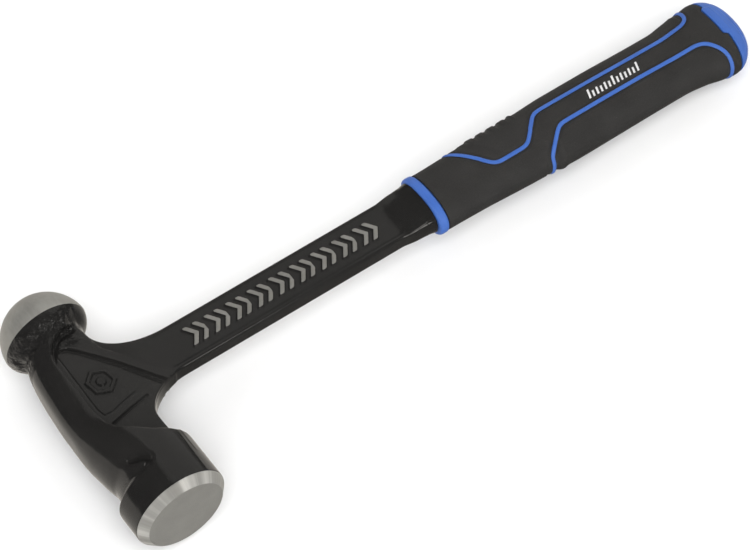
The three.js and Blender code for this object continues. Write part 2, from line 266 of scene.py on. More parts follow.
def badge(x, y):
    """A raised hexagon with a round boss in it."""
    u, v = x - BADGE["x"], y - BADGE["y"]
    hexagon = np.full(np.broadcast(u, v).shape, -np.inf)
    for k in range(3):
        angle = math.radians(60 * k + BADGE["turn"])
        hexagon = np.maximum(hexagon, np.abs(u * math.cos(angle) + v * math.sin(angle)))
    outline = np.abs(hexagon - BADGE["radius"]) - BADGE["stroke"]
    boss = np.hypot(u, v) - BADGE["boss"]
    return BADGE["height"] * (1 - smoothstep(-0.25, 0.45, np.minimum(outline, boss)))


def ball_field(x, y, z):
    radius = np.hypot(x, z)
    ball = np.sqrt(radius**2 + (y - BALL_Y) ** 2) - BALL_RADIUS
    underside = (radius - 16.4) * 0.588 - (y - 32.2) * 0.809
    return common(ball, underside, 2.8)


def poll_field(x, y, z):
    radius = np.hypot(x, z)
    bevel_run = np.array([BEVEL_Y - FACE_Y, POLL_RADIUS - FACE_RADIUS])
    across, along = bevel_run / np.hypot(*bevel_run)
    bevel = (radius - POLL_RADIUS) * across - (y - BEVEL_Y) * along
    side = common(radius - POLL_RADIUS, y - POLL_REAR_Y, 0.9)
    return common(common(side, bevel, 0.45), FACE_Y - y, 0.45)


def hook_depth(x, y, up):
    """How far the hook is sunk: shallower and narrower towards its tail, and on the cheeks only."""
    distance, along = line_distance(x, y, HOOK_LINE)
    ends = smoothstep(0, 0.18, along) * smoothstep(1.0, 0.85, along)
    tail = 1 - 0.65 * smoothstep(0.45, 0.75, along)
    return HOOK_DEPTH * ends * tail * bump(distance, 1.75 - 0.85 * along) * smoothstep(8, 12, up)


def shaft_plan(x, y):
    """The outline of web and shaft in plan, with its two big fillets."""
    shaft = np.abs(y) - SHAFT_HALF_WIDTH
    sides = []
    for web_x, radius, stretch in (BALL_SIDE_FILLET, FACE_SIDE_FILLET):
        sides.append(union(shaft, (x - web_x) / stretch, radius))
    return np.where(y > 0, *sides)


def mark_field(x, y, up):
    """Raised double chevrons that point at the grip."""
    first, pitch, reach, sweep = MARKS["first"], MARKS["pitch"], MARKS["reach"], MARKS["sweep"]
    cell = np.clip(np.round((x - first - 3) / pitch), 0, MARKS["count"] - 1)
    local = x - first - cell * pitch - sweep * (1 - np.abs(y) / reach)
    stroke = MARKS["half_width"] - MARK_DRAFT * (up - SHAFT_HALF_THICKNESS)
    nearest_bar = np.minimum(np.abs(local), np.abs(local - MARKS["between"]))
    bars = nearest_bar * math.cos(math.atan(sweep / reach)) - stroke
    plan = common(bars, np.abs(y) - reach, 0.5)
    return common(plan, up - SHAFT_HALF_THICKNESS - MARK_HEIGHT, 0.3)


def head_field(x, y, z, up):
    """Waist, ball and poll, with the hook sunk into them."""
    half_width = np.where(x > 0, MID_BODY(y, 1), MID_BODY(y, 0))
    middle = oval(x, up, half_width, MID_BODY(y, 2), MID_BODY(y, 3))
    middle = np.maximum(middle, np.maximum(y - 33, -52 - y))
    head = union(middle, ball_field(x, y, z), 1.8)
    head = union(head, poll_field(x, y, z), 0.1 + 1.5 * smoothstep(-4, -13, x))
    return head + hook_depth(x, y, up)


def web_and_pocket(head, plan, x, y, up):
    """Adds the thick part of the web and hollows the cheek."""
    step_x, step_y = np.array(STEP_LINE, float).T
    step = (x - np.interp(y, step_y, step_x)) * STEP_STEEPNESS
    web = np.maximum(np.maximum(plan, step), up - 12)
    hollow = common(polygon(x, y, POCKET_OUTLINE), pocket_floor(x, y) - up, 0.9)
    rounding = POCKET["rounding"] - 0.4 * smoothstep(8, 14, x) + 1.4 * smoothstep(-30, -37, y)
    return cut(union(head, web, 2.0), hollow, rounding)


def shaft_field(plan, x, y, up):
    """The plate of shaft and thin web with a groove inside its long edges, the marks and the flare."""
    edge = np.abs(y) - SHAFT_HALF_WIDTH + 1.9
    groove = 0.22 * bump(edge, 0.4) * smoothstep(30, 36, x) * smoothstep(158, 148, x)
    plate = common(np.maximum(plan, x - 160), up - SHAFT_HALF_THICKNESS + groove, 1.15)
    flare = oval(y, up, FLARE(x, 0), FLARE(x, 1), FLARE(x, 2))
    flare = np.maximum(flare, np.maximum(145.5 - x, x - BOSS_END_X))
    marked = union(plate, mark_field(x, y, up), 0.35)
    return union(marked, flare, 0.05 + 1.6 * smoothstep(147, 156, x))


def forging(x, y, z):
    up = np.abs(z)
    plan = np.maximum(shaft_plan(x, y), np.maximum(-4 - x, y - 28))
    plan = np.maximum(plan, POLL_REAR_Y - y)
    head = web_and_pocket(head_field(x, y, z, up), plan, x, y, up)
    return union(head, shaft_field(plan, x, y, up), 0.5)


# ---- Meshing a distance field ----
def edge_crossings(values, axis):
    """Lattice edges along one axis that the surface crosses, where it does, and which lead inwards."""
    a = np.moveaxis(values, axis, 0)[:-1]
    b = np.moveaxis(values, axis, 0)[1:]
    where = np.argwhere((a < 0) != (b < 0))
    start, end = a[tuple(where.T)], b[tuple(where.T)]
    place = np.empty_like(where)
    place[:, axis] = where[:, 0]
    place[:, [k for k in range(3) if k != axis]] = where[:, 1:]
    crossing = place.astype(float)
    crossing[:, axis] += start / (start - end)
    return place, crossing, start > 0


def cells_around(place, axis, cells):
    """The numbers of the four cells around each lattice edge."""
    u, v = (axis + 1) % 3, (axis + 2) % 3
    numbers = []
    for du, dv in ((-1, -1), (0, -1), (0, 0), (-1, 0)):
        cell = place.copy()
        cell[:, u] += du
        cell[:, v] += dv
        numbers.append(np.ravel_multi_index(tuple(cell.T), cells))
    return np.stack(numbers, axis=1)


def surface_net(field, low, high):
    """Quads around every lattice edge that the surface crosses. Half is computed, as z is symmetric."""
    xs, ys = (np.arange(a, b + STEP, STEP) for a, b in zip(low, high[:2]))
    half = np.arange(STEP / 2, high[2] + STEP, STEP)
    zs = np.concatenate([-half[::-1], half])
    upper = field(xs[:, None, None], ys[None, :, None], half[None, None, :])
    values = np.concatenate([upper[:, :, ::-1], upper], axis=2)
    cells = tuple(n - 1 for n in values.shape)
    total = np.zeros((math.prod(cells), 3))
    count = np.zeros(math.prod(cells))
    corners = []
    for axis in range(3):
        place, crossing, inwards = edge_crossings(values, axis)
        quads = cells_around(place, axis, cells)
        for cell in quads.T:
            count += np.bincount(cell, minlength=len(count))
            for k in range(3):
                total[:, k] += np.bincount(cell, crossing[:, k], minlength=len(count))
        quads[inwards] = quads[inwards][:, ::-1]
        corners.append(quads)
    used = np.flatnonzero(count)
    number = np.zeros(len(count), int)
    number[used] = np.arange(len(used))
    grid = total[used] / count[used, None]
    places = [np.interp(grid[:, k], np.arange(len(line)), line) for k, line in enumerate((xs, ys, zs))]
    return np.stack(places, axis=1), number[np.concatenate(corners)]


def slope(points, field):
    """The field's gradient, from small steps to each side."""
    reach = 0.02
    sides = []
    for axis in range(3):
        shift = np.zeros(3)
        shift[axis] = reach
        ahead = field(*(points + shift).T)
        behind = field(*(points - shift).T)
        sides.append((ahead - behind) / (2 * reach))
    return np.stack(sides, axis=1)


def settle(points, field, rounds=4):
    """Moves points on to the field's surface."""
    for _ in range(rounds):
        direction = slope(points, field)
        size = np.maximum((direction**2).sum(1), 0.05)
        step = np.clip(field(*points.T) / size, -0.3, 0.3)
        points = points - direction * step[:, None]
    return points


# ---- Building objects ----
def to_scene(points):
    """From the eye frame in mm to the part's frame in metres."""
    return (np.asarray(points) + [0, EYE_Y, 0]) * MM


def from_scene(points):
    return np.asarray(points) / MM - [0, EYE_Y, 0]


def new_object(name, data):
    made = bpy.data.objects.new(name, data)
    bpy.context.collection.objects.link(made)
    return made


def add_object(name, mesh, material, replaced=()):
    mesh.materials.clear()
    mesh.materials.append(material)
    piece = new_object(name, mesh)
    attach(piece, "root")
    if replaced:
        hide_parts(*replaced)
    return piece


def mesh_of(name, points, faces):
    mesh = bpy.data.meshes.new(name)
    mesh.from_pydata(to_scene(points).tolist(), [], [list(map(int, f)) for f in faces])
    mesh.update()
    mesh.polygons.foreach_set("use_smooth", np.ones(len(mesh.polygons), bool))
    return mesh


def shade_from_field(mesh, field):
    """Takes the shading normals from the field, so they are free of mesh noise."""
    co = np.empty(len(mesh.vertices) * 3)
    mesh.vertices.foreach_get("co", co)
    normals = slope(from_scene(co.reshape(-1, 3)), field)
    normals /= np.maximum(np.linalg.norm(normals, axis=1, keepdims=True), 1e-9)
    mesh.polygons.foreach_set("use_smooth", np.ones(len(mesh.polygons), bool))
    mesh.normals_split_custom_set_from_vertices(normals.tolist())


def slice_mesh(body, normal, offset, chosen):
    """Cuts the chosen faces along a plane, so that a finish can end on a clean line."""
    faces = [f for f in body.faces if chosen(f.calc_center_median())]
    edges = {e for f in faces for e in f.edges}
    verts = {v for f in faces for v in f.verts}
    plane_point = Vector(normal) * offset
    bmesh.ops.bisect_plane(
        body, geom=[*faces, *edges, *verts], dist=1e-7, plane_co=plane_point, plane_no=Vector(normal)
    )


def take_faces(body, name, chosen):
    """A new mesh of the chosen faces of a bmesh."""
    number = {}
    points = []
    faces = []
    for face in body.faces:
        if not chosen(face.calc_center_median()):
            continue
        for vert in face.verts:
            if vert.index not in number:
                number[vert.index] = len(points)
                points.append(vert.co[:])
        faces.append([number[v.index] for v in face.verts])
    mesh = bpy.data.meshes.new(name)
    mesh.from_pydata(points, [], faces)
    mesh.update()
    return mesh


def build_forging(lacquer, ground):
    """One mesh of the whole forging, parted into its four finishes along clean lines."""
    margin = 1.5
    low = (-POLL_RADIUS - 2, FACE_Y - margin)
    high = (BOSS_END_X + margin, BALL_Y + BALL_RADIUS + margin, POLL_RADIUS + margin)
    points, quads = surface_net(forging, low, high)
    points = settle(points, forging)
    mesh = mesh_of("forging", points, quads)
    body = bmesh.new()
    body.from_mesh(mesh)
    bpy.data.meshes.remove(mesh)

    ball_cut = (GROUND_BALL_Y + EYE_Y) * MM
    face_cut = (BEVEL_Y + 0.05 + EYE_Y) * MM
    top_cut = (SHAFT_HALF_THICKNESS + MARK_HEIGHT - 0.14) * MM
    near = 3 * STEP * MM
    marks_start, marks_end = 40 * MM, 144 * MM
    marks_reach, marks_top = 6.6 * MM, 6.5 * MM

    def on_mark(p):
        return marks_start < p.x < marks_end and abs(p.y - EYE_Y * MM) < marks_reach and abs(p.z) < marks_top

    slice_mesh(body, (0, 1, 0), ball_cut, lambda p: abs(p.y - ball_cut) < near)
    slice_mesh(body, (0, 1, 0), face_cut, lambda p: abs(p.y - face_cut) < near)
    slice_mesh(body, (0, 0, 1), top_cut, lambda p: on_mark(p) and p.z > 0)
    slice_mesh(body, (0, 0, 1), -top_cut, lambda p: on_mark(p) and p.z < 0)
    body.verts.index_update()

    finishes = {
        "ball_peen": lambda p: p.y > ball_cut,
        "striking_face": lambda p: p.y < face_cut,
        "shaft_marks": lambda p: on_mark(p) and abs(p.z) > top_cut,
    }
    for name, chosen in finishes.items():
        piece = take_faces(body, name, chosen)
        shade_from_field(piece, forging)
        add_object(name, piece, ground[name])
    rest = take_faces(body, "forging", lambda p: not any(f(p) for f in finishes.values()))
    shade_from_field(rest, forging)
    add_object("forging", rest, lacquer, ["forged_body"])
    body.free()


# ---- The grip ----
# X, half width towards the ball side, half width towards the face side, half thickness
GRIP = Profile([
    [164, 14.3, 15.3, 9.4],
    [172, 14.1, 15.1, 9.4],
    [190, 14.5, 15.4, 9.6],
    [203, 14.1, 16.0, 9.9],
    [215, 14.1, 16.5, 10.2],
    [226, 14.9, 16.8, 10.6],
    [240, 15.5, 17.2, 10.9],
    [260, 15.5, 17.0, 11.0],
    [285, 15.1, 16.8, 10.8],
    [297, 15.0, 16.8, 10.8],
    [308, 15.8, 17.8, 11.3],
    [316, 17.2, 19.6, 12.1],
    [322, 18.1, 20.9, 12.6],
])
BACK_LINE = [
    (181, 24, 0), (187.8, 12.3, 5), (200.6, -5.6, 6), (217.8, -5.7, 6), (229.6, 6.4, 6), (300, 5.6, 20),
    (315.6, 6.8, 6), (318.0, 26, 0),
]
FINGER_LINE = [
    (217, -30, 0), (222.4, -16.5, 6), (235, -5.2, 6), (280, -5.2, 40), (313, -6.0, 10), (319.6, -15, 12),
    (320.4, -30, 0),
]
PIPING_HALF_WIDTH = 0.9
# Section of the blue line, as a share of its half width and a height: a low crown rooted in the rubber
PIPING_CROWN = [
    (-1, -0.9), (-1, 0.02), (-0.92, 0.2), (-0.72, 0.33), (-0.4, 0.4), (0, 0.43),
    (0.4, 0.4), (0.72, 0.33), (0.92, 0.2), (1, 0.02), (1, -0.9),
]
RIBS = {"first": 200.4, "pitch": 5.6, "start": 197.5, "end": 222.9, "height": 0.6, "fade": 1.1}
RUBBER_WALL = 1.6
GRIP_START_X = ring_high[0] + 0.1
CAP_X = 325.4
CAP_TAB = 1.9  # how far the cap's tab reaches forward on each cheek
DOME_X = 322.0  # the grip starts to round off towards the butt
DOME_FULLNESS = 2.26
GROOVE_X = 331.5  # a shallow groove around the cap's end face
# The print on each cheek: slanted strokes of uneven height
PRINT = {"first": 254.0, "pitch": 2.2, "width": 1.0, "slant": 0.35, "lift": 0.07, "foot": -2.2}
PRINT_HEIGHTS = [4.6, 3.0, 3.6, 3.0, 3.6, 3.0, 4.6, 3.0, 3.6, 3.0, 3.6, 3.0, 4.6]


def rounded_line(corners, spacing):
    """A plan line with its corners rounded, as evenly spaced points."""
    at = [np.array(c[:2], float) for c in corners]
    points = [at[0]]
    for i in range(1, len(at) - 1):
        back, ahead = at[i - 1] - at[i], at[i + 1] - at[i]
        back_length, ahead_length = np.linalg.norm(back), np.linalg.norm(ahead)
        back, ahead = back / back_length, ahead / ahead_length
        half = math.acos(np.clip(back @ ahead, -1, 1)) / 2
        run = min(corners[i][2] / math.tan(half), back_length * 0.48, ahead_length * 0.48)
        start, end = at[i] + back * run, at[i] + ahead * run
        for t in np.linspace(0, 1, 13):
            points.append(start * (1 - t) ** 2 + at[i] * 2 * t * (1 - t) + end * t * t)
    points.append(at[-1])
    return spaced(np.array(points), spacing)


def spaced(points, spacing, closed=False):
    """The same line with its points evenly spaced."""
    if closed:
        points = np.vstack([points, points[:1]])
    length = np.concatenate([[0], np.cumsum(np.linalg.norm(np.diff(points, axis=0), axis=1))])
    count = max(int(length[-1] / spacing), 8)
    at = np.linspace(0, length[-1], count + 1)
    if closed:
        at = at[:-1]
    return np.stack([np.interp(at, length, points[:, k]) for k in range(points.shape[1])], axis=1)


def squircle(value):
    return np.sign(value) * np.abs(value) ** (2 / SQUARENESS)


def section(x, angle, widths):
    """A point of the grip's oval section; angle 0 is the ball side and 90 degrees the upper cheek."""
    plus, minus, thick = widths
    across = squircle(np.cos(angle))
    y = across * np.where(across > 0, plus, minus)
    return np.stack([x, y, squircle(np.sin(angle)) * thick], axis=-1)


def grip_widths(x):
    share = np.clip((x - DOME_X) / (BUTT_X - DOME_X), 0, 1)
    shrink = np.maximum(1 - share**DOME_FULLNESS, 0) ** (1 / DOME_FULLNESS)
    return GRIP(x, 0) * shrink, GRIP(x, 1) * shrink, GRIP(x, 2) * shrink


def plan_outline(line):
    return [tuple(p) for p in rounded_line(line, 2.0)]


BACK_OUTLINE = plan_outline(BACK_LINE)
FINGER_OUTLINE = plan_outline(FINGER_LINE)


def grip_relief(x, angle, y):
    """How far the grip's surface stands out from its plain form."""
    back = polygon(x, y, BACK_OUTLINE)
    finger = polygon(x, y, FINGER_OUTLINE)
    relief = np.zeros_like(x)
    for distance in (back, finger):
        relief -= 0.35 * bump(np.abs(distance) - 1.25, 0.4)
        relief += 0.25 * smoothstep(0, -3, distance)
    edge = smoothstep(math.radians(62), math.radians(35), np.abs(wrapped(angle)))
    wave = smoothstep(-0.35, 0.25, np.cos((x - RIBS["first"]) * 2 * math.pi / RIBS["pitch"]))
    start, end, fade = RIBS["start"], RIBS["end"], RIBS["fade"]
    zone = smoothstep(start, start + fade, x) * smoothstep(end, end - fade, x)
    relief += RIBS["height"] * edge * wave * zone
    crease = (x - 199.2) * 0.82 + (y - 6.3) * 0.57
    inside_back = smoothstep(0.0, -2.0, back)
    relief += 0.45 * inside_back * smoothstep(-1.2, 1.6, crease) * smoothstep(226, 219, x)
    relief += 0.4 * inside_back * smoothstep(299, 309, x) * smoothstep(313.5, 312.3, x)
    face_edge = smoothstep(math.radians(70), math.radians(40), math.pi - np.abs(wrapped(angle)))
    relief += face_edge * (0.55 * bump(x - 230.2, 1.6) - 0.6 * bump(x - 226.6, 1.1))
    return relief


def wrapped(angle):
    return (angle + math.pi) % (2 * math.pi) - math.pi


def cap_edge(y):
    """Where the rubber ends and the cap starts, along X."""
    return CAP_X - CAP_TAB * smoothstep(9.5, 7.5, np.abs(y))


def plain_grip(x, angle):
    """The grip's surface without its relief."""
    return section(x, angle, grip_widths(x))


def grip_surface(x, angle):
    points = plain_grip(x, angle)
    reach = 0.03
    side = plain_grip(x, angle + reach) - plain_grip(x, angle - reach)
    outward = np.stack([np.zeros_like(x), side[..., 2], -side[..., 1]], axis=-1)
    outward /= np.maximum(np.linalg.norm(outward, axis=-1, keepdims=True), 1e-9)
    return points + outward * grip_relief(x, angle, points[..., 1])[..., None]


def even_angles(count):
    """Angles that give evenly spaced points around the grip's section."""
    fine = np.linspace(0, 2 * math.pi, 2881)
    ring = plain_grip(np.full_like(fine, 250.0), fine)
    length = np.concatenate([[0], np.cumsum(np.linalg.norm(np.diff(ring, axis=0), axis=1))])
    return np.interp(np.linspace(0, length[-1], count, endpoint=False), length, fine)


def grid_faces(rows, columns):
    """Quads of a tube of rows, each closed round."""
    i, j = np.meshgrid(np.arange(rows - 1), np.arange(columns), indexing="ij")
    k = (j + 1) % columns
    a, b = i * columns + j, i * columns + k
    return np.stack([a, b, b + columns, a + columns], axis=-1).reshape(-1, 4)


def build_rubber(rubber):
    """The shell and the two pads: one fine surface, parted under the blue lines."""
    angles = even_angles(300)
    rows = 380
    share = np.linspace(0, 1, rows)[:, None]
    start = GRIP_START_X
    end = cap_edge(plain_grip(np.full_like(angles, CAP_X), angles)[:, 1])[None, :]
    x = start + share * (end - start)
    angle = np.broadcast_to(angles, x.shape)
    points = grip_surface(x, angle)
    tuck = smoothstep(0.5, 0, x - start) + smoothstep(0.5, 0, end - x)
    points[..., 1:] *= (1 - 0.035 * tuck)[..., None]
    faces = grid_faces(rows, len(angles))
    flat = points.reshape(-1, 3)
    centre = flat[faces].mean(1)
    back = polygon(centre[:, 0], centre[:, 1], BACK_OUTLINE) < 0
    finger = polygon(centre[:, 0], centre[:, 1], FINGER_OUTLINE) < 0
    regions = {"grip_shell": ~back & ~finger, "back_pad": back, "finger_pad": finger}
    for name, chosen in regions.items():
        mesh = mesh_of(name + "_rubber", flat, faces[chosen])
        drop_loose(mesh)
        piece = add_object(name + "_rubber", mesh, rubber, [name])
        wall = piece.modifiers.new("wall", "SOLIDIFY")
        wall.thickness = RUBBER_WALL * MM
        wall.offset = -1


def drop_loose(mesh):
    body = bmesh.new()
    body.from_mesh(mesh)
    bmesh.ops.delete(body, geom=[v for v in body.verts if not v.link_faces], context="VERTS")
    body.to_mesh(mesh)
    body.free()


def piping_path(line):
    """The blue line's closed path: along the upper cheek, over the edge and back along the lower one."""
    x, y = rounded_line(line, 0.5).T
    limit = np.where(y > 0, GRIP(x, 0), GRIP(x, 1))
    kept = np.abs(y) < 0.9 * limit
    x, share = x[kept], (y / limit)[kept]
    angle = np.arccos(np.sign(share) * np.abs(share) ** (SQUARENESS / 2))
    side = 0.0 if share[0] > 0 else math.pi
    steps = 40  # places over the edge, counted with both ends
    over_end = np.linspace(angle[-1], 2 * side - angle[-1], steps)[1:-1]
    over_start = np.linspace(2 * side - angle[0], angle[0], steps)[1:-1]
    xs = np.concatenate([x, np.full(steps - 2, x[-1]), x[::-1], np.full(steps - 2, x[0])])
    angles = np.concatenate([angle, over_end, 2 * side - angle[::-1], over_start])
    return xs, angles


def smooth_closed(values, rounds):
    for _ in range(rounds):
        values = (np.roll(values, 1, axis=0) + 2 * values + np.roll(values, -1, axis=0)) / 4
    return values


def piping_frame(xs, angles):
    """Places on the plain grip, with the directions across the path and out of the surface there."""
    centre = plain_grip(xs, angles)
    along = np.roll(centre, -1, axis=0) - np.roll(centre, 1, axis=0)
    along /= np.linalg.norm(along, axis=1, keepdims=True)
    reach = 0.02
    round_way = plain_grip(xs, angles + reach) - plain_grip(xs, angles - reach)
    length_way = plain_grip(xs + reach, angles) - plain_grip(xs - reach, angles)
    outward = np.cross(round_way, length_way)
    outward /= np.linalg.norm(outward, axis=1, keepdims=True)
    outward *= np.sign((outward * (centre * [0, 1, 1])).sum(1))[:, None]
    return centre, np.cross(outward, along), outward


def build_piping(name, line, blue):
    xs, angles = piping_path(line)
    mm_per_radian = 12
    path = spaced(np.stack([xs, angles * mm_per_radian], axis=1), 0.5, closed=True)
    path = smooth_closed(path, 12)
    centre, across, outward = piping_frame(path[:, 0], path[:, 1] / mm_per_radian)
    strips = []
    for share, height in PIPING_CROWN:
        strips.append(centre + across * (share * PIPING_HALF_WIDTH) + outward * height)
    points = np.stack(strips, axis=1).reshape(-1, 3)
    count, sides = len(centre), len(PIPING_CROWN)
    i, j = np.meshgrid(np.arange(count), np.arange(sides), indexing="ij")
    nxt, side = (i + 1) % count, (j + 1) % sides
    faces = np.stack([i * sides + j, i * sides + side, nxt * sides + side, nxt * sides + j], axis=-1)
    mesh = mesh_of(name + "_strip", points, outward_faces(points, faces.reshape(-1, 4)))
    add_object(name + "_strip", mesh, blue, [name])


def outward_faces(points, faces):
    """Turns all faces round if the closed mesh is inside out."""
    a, b, c = points[faces[:, 0]], points[faces[:, 1]], points[faces[:, 2]]
    d = points[faces[:, 3]]
    volume = (np.cross(a, b) * c).sum() + (np.cross(a, c) * d).sum()
    return faces if volume > 0 else faces[:, ::-1]


def build_ring(blue):
    """The front ring: a rounded band around the boss."""
    angles = even_angles(240)
    x0, x1 = ring_low[0], ring_high[0]
    half_width, half_thick = ring_high[1] - EYE_Y, ring_high[2]
    plus_trim = 0.7  # the ring hugs the grip more closely on the ball side
    # Place along X and inset of each rail around the band's section
    rails = [
        (x0 + 0.3, 3.2), (x0, 2.6), (x0, 1.0), (x0 + 0.25, 0.45), (x0 + 0.8, 0.12), (x0 + 1.5, 0),
        (x1 - 1.2, 0), (x1 - 0.6, 0.12), (x1 - 0.2, 0.45), (x1, 0.9), (x1, 3.2),
    ]
    rings = []
    for x, inset in rails:
        widths = (half_width - plus_trim - inset, half_width - inset, half_thick - inset)
        rings.append(section(np.full_like(angles, x), angles, widths))
    points = np.concatenate(rings)
    faces = grid_faces(len(rails), len(angles))
    last = (len(rails) - 1) * len(angles)
    j = np.arange(len(angles))
    k = (j + 1) % len(angles)
    closing = np.stack([last + j, last + k, k, j], axis=-1)
    faces = outward_faces(points, np.vstack([faces, closing]))
    add_object("grip_ring", mesh_of("grip_ring", points, faces), blue, ["front_ring"])


def build_cap(blue):
    """The butt cap: a dome with a raised tab on each cheek and a shallow groove around its rim."""
    angles = even_angles(300)
    edge_y = plain_grip(np.full_like(angles, CAP_X), angles)[:, 1]
    start = cap_edge(edge_y) + 0.12
    proud = 0.1  # the cap stands out from the rubber by this much
    rows = []
    for inset in (2.2, 1.0, 0.35, 0.1):
        widths = tuple(w - inset + proud for w in grip_widths(start))
        rows.append(section(start + (0.25 - inset * 0.08 if inset < 1 else 0), angles, widths))
    for share in np.linspace(0.03, 1, 60):
        # Even steps of the dome's turning angle, so that its end stays smooth
        x = start + (BUTT_X - 0.01 - start) * math.sin(share * math.pi / 2)
        tab = smoothstep(8.6, 7.6, np.abs(edge_y)) * smoothstep(1.1, 0.6, np.abs(x - CAP_X - 0.6) - 1.2)
        change = proud * smoothstep(1, 0.8, share) - 0.3 * bump(x - GROOVE_X, 0.4)
        widths = tuple(np.maximum(w + change, 0.02) for w in grip_widths(x))
        rows.append(section(x, angles, widths) + tab_lift(angles, 0.3 * tab))
    points = np.concatenate(rows)
    count = len(angles)
    faces = [list(f) for f in grid_faces(len(rows), count)]
    faces.append(list(range(len(points) - count, len(points))))
    mesh = mesh_of("butt_cap", points, faces)
    body = bmesh.new()
    body.from_mesh(mesh)
    bmesh.ops.recalc_face_normals(body, faces=body.faces)
    body.to_mesh(mesh)
    body.free()
    add_object("butt_cap", mesh, blue, ["end_cap"])


def tab_lift(angles, lift):
    up = np.sign(np.sin(angles)) * lift
    return np.stack([np.zeros_like(up), np.zeros_like(up), up], axis=-1)


def stroke_points(number, height, cheek):
    """One stroke of the print: seven rows of three places, laid just over the rubber."""
    points = []
    lift = np.array([0, 0, PRINT["lift"] * cheek])
    for t in np.linspace(0, 1, 7):
        up = height * t
        for share in (0, 0.5, 1):
            x = PRINT["first"] + PRINT["pitch"] * number + PRINT["width"] * share + PRINT["slant"] * up
            points.append(cheek_point(x, PRINT["foot"] + up, cheek) + lift)
    return points


def build_print(ink):
    """The pale print on each cheek, as raised ink."""
    points, faces = [], []
    for cheek in (1, -1):
        for number, height in enumerate(PRINT_HEIGHTS):
            base = len(points)
            points.extend(stroke_points(number, height, cheek))
            for row in range(6):
                for column in range(2):
                    a = base + row * 3 + column
                    quad = [a, a + 1, a + 4, a + 3]
                    faces.append(quad if cheek > 0 else quad[::-1])
    mesh = mesh_of("grip_print", points, faces)
    add_object("grip_print", mesh, ink)


def cheek_point(x, y, cheek):
    """The grip's surface over a place in plan, on the upper (1) or lower (-1) cheek."""
    share = y / float(grip_widths(np.array(x))[0 if y > 0 else 1])
    angle = math.acos(math.copysign(abs(share) ** (SQUARENESS / 2), share))
    return grip_surface(np.array([x]), np.array([angle * cheek]))[0]


# ---- Materials ----
class Nodes:
    """A short way to write a node tree."""

    def __init__(self, name):
        self.material = bpy.data.materials.new(name)
        self.material.use_nodes = True
        self.tree = self.material.node_tree
        self.shader = self.tree.nodes["Principled BSDF"]
        self.place = self.add("ShaderNodeTexCoord").outputs["Object"]

    def add(self, kind, inputs=None, **settings):
        node = self.tree.nodes.new(kind)
        for key, value in settings.items():
            setattr(node, key, value)
        for key, value in (inputs or {}).items():
            if isinstance(value, bpy.types.NodeSocket):
                self.tree.links.new(value, node.inputs[key])
            else:
                node.inputs[key].default_value = value
        return node

    def noise(self, scale, detail=3.0, place=None, roughness=0.5):
        inputs = {"Vector": place or self.place, "Scale": scale, "Detail": detail, "Roughness": roughness}
        return self.add("ShaderNodeTexNoise", inputs).outputs["Fac"]

    def line_noise(self, value, scale, detail):
        """Noise along one measure only."""
        inputs = {"W": value, "Scale": scale, "Detail": detail}
        return self.add("ShaderNodeTexNoise", inputs, noise_dimensions="1D").outputs["Fac"]

    def blend(self, share, a, b):
        inputs = {"Factor": share, "A": a, "B": b}
        return self.add("ShaderNodeMix", inputs, data_type="RGBA").outputs[2]

    def stretched(self, scale):
        return self.add("ShaderNodeMapping", {"Vector": self.place, "Scale": scale}).outputs["Vector"]

    def span(self, value, low, high, to_low, to_high):
        inputs = {"Value": value, "From Min": low, "From Max": high, "To Min": to_low, "To Max": to_high}
        return self.add("ShaderNodeMapRange", inputs).outputs["Result"]

    def maths(self, operation, a, b=0.0):
        return self.add("ShaderNodeMath", {0: a, 1: b}, operation=operation).outputs["Value"]

    def ramp(self, value, stops):
        node = self.add("ShaderNodeValToRGB", {"Fac": value})
        elements = node.color_ramp.elements
        for i, (place, colour) in enumerate(stops):
            element = elements[i] if i < 2 else elements.new(place)
            element.position = place
            element.color = (*colour, 1)
        return node.outputs["Color"]

    def bump(self, height, distance, strength=1.0, below=None):
        inputs = {"Height": height, "Distance": distance, "Strength": strength}
        if below is not None:
            inputs["Normal"] = below
        return self.add("ShaderNodeBump", inputs).outputs["Normal"]

    def set(self, **values):
        for key, value in values.items():
            socket = self.shader.inputs[key.replace("_", " ")]
            if isinstance(value, bpy.types.NodeSocket):
                self.tree.links.new(value, socket)
            else:
                socket.default_value = value
        return self.material


NECK_CAST_Y = (29.5 - FACE_Y) * MM  # middle of the rough-cast band under the ball


def black_lacquer():
    n = Nodes("black_lacquer")
    cloud = n.noise(60, 4)
    peel = n.noise(380, 2.5)
    at = n.add("ShaderNodeSeparateXYZ", {"Vector": n.place})
    from_neck = n.maths("ABSOLUTE", n.maths("SUBTRACT", at.outputs["Y"], NECK_CAST_Y))
    neck = n.span(from_neck, 0.004, 0.009, 1.0, 0.0)
    by_head = n.span(at.outputs["X"], 0.006, 0.012, 1.0, 0.0)
    cast = n.maths("MULTIPLY", n.noise(240, 3), n.maths("MULTIPLY", neck, by_head))
    grit = n.noise(2600, 2)
    colour = n.ramp(cloud, [(0.3, (0.0105, 0.0102, 0.0098)), (0.75, (0.014, 0.0136, 0.013))])
    rough = n.span(n.noise(900, 4), 0.3, 0.7, 0.035, 0.095)
    waves = n.bump(peel, 0.00004, 1.0, n.bump(cast, 0.003, 1.0))
    fine = n.bump(grit, 0.00001, 0.2, waves)
    return n.set(Base_Color=colour, Roughness=rough, Normal=fine)


